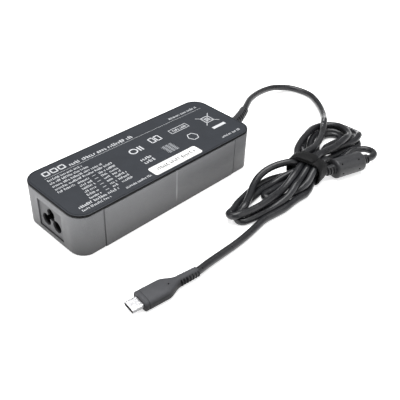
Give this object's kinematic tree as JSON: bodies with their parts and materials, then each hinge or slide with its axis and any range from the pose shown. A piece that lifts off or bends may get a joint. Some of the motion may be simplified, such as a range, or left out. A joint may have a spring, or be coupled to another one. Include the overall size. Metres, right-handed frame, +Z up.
{
  "type": "laptop power adapter",
  "caption": "Mains adapter brick with a three-pin inlet at one end and a captive output cord folded in a strapped hank, with a moulded ferrite and a reversible plug.",
  "frame": {"origin": "middle of the housing's underside, on the surface it stands on", "axes": "+X along the housing towards the cord exit, the mains inlet faces -X, +Z up through the printed cover"},
  "size_m": [0.2553, 0.1164, 0.0286],
  "materials": {
    "case_plastic": "satin moulded",
    "cover_plastic": "fine spark texture",
    "label_paper": "coated",
    "inlet_plastic": "fine texture",
    "plated_brass": "nickel plated",
    "wire_sleeve": "satin",
    "board_laminate": "solder mask",
    "clear_film": "film",
    "black_epoxy": "moulded epoxy",
    "disc_coating": "dipped",
    "film_box": "moulded",
    "ferrite": "sintered",
    "copper_winding": "enamelled",
    "winding_tape": "polyester tape",
    "can_sleeve": "shrink sleeve",
    "aluminium": "rolled",
    "steel": "zinc plated",
    "thermal_silicone": "soft pad",
    "soft_moulding": "matte moulded",
    "cord_jacket": "satin extruded",
    "strap_fabric": "hook and loop",
    "grip_plastic": "matte moulded",
    "plug_metal": "nickel plated",
    "plug_insert": "moulded",
    "gold_contacts": "gold plated"
  },
  "bodies": {
    "adapter": {"bottom_shell": "case_plastic", "top_cover": "cover_plastic", "serial_sticker": "label_paper", "inlet_body": "inlet_plastic", "inlet_power_pins": "plated_brass", "inlet_earth_pin": "plated_brass", "inlet_wires": "wire_sleeve", "main_board": "board_laminate", "insulation_sheet": "clear_film", "fuse": "black_epoxy", "varistor": "disc_coating", "inrush_limiter": "disc_coating", "x_capacitor": "film_box", "y_capacitors": "disc_coating", "choke_core": "ferrite", "choke_windings": "copper_winding", "bridge_rectifier": "black_epoxy", "bulk_capacitor": "can_sleeve", "boost_inductor_core": "ferrite", "boost_inductor_coil": "winding_tape", "primary_heatsink": "aluminium", "power_transistors": "black_epoxy", "heatsink_screws": "steel", "transformer_core": "ferrite", "transformer_coil": "winding_tape", "secondary_heatsink": "aluminium", "rectifier_transistor": "black_epoxy", "output_capacitors": "aluminium", "control_board": "board_laminate", "control_chips": "black_epoxy", "thermal_pads": "thermal_silicone", "heat_spreader": "aluminium", "output_wires": "wire_sleeve", "case_strain_relief": "soft_moulding", "cord_lead_in": "cord_jacket", "cord_hank": "cord_jacket", "cord_ferrite_entry": "cord_jacket", "cord_in_ferrite": "cord_jacket", "cord_ferrite_turn": "cord_jacket", "cord_plug_lead": "cord_jacket", "ferrite_cover": "soft_moulding", "ferrite_core": "ferrite", "cord_strap": "strap_fabric", "plug_grip": "grip_plastic", "plug_shell": "plug_metal", "plug_insulator": "plug_insert", "plug_contacts": "gold_contacts", "plug_board": "board_laminate"},
    "tab": {"strap_tab": "strap_fabric"}
  },
  "joints": [
    {"name": "strap_tab_peel", "type": "hinge", "parent": "adapter", "child": "tab", "pos_m": [0.08286, -0.05631, 0.0171], "axis": [-0.9816, -0.1908, 0], "range_deg": [0, 75]}
  ]
}
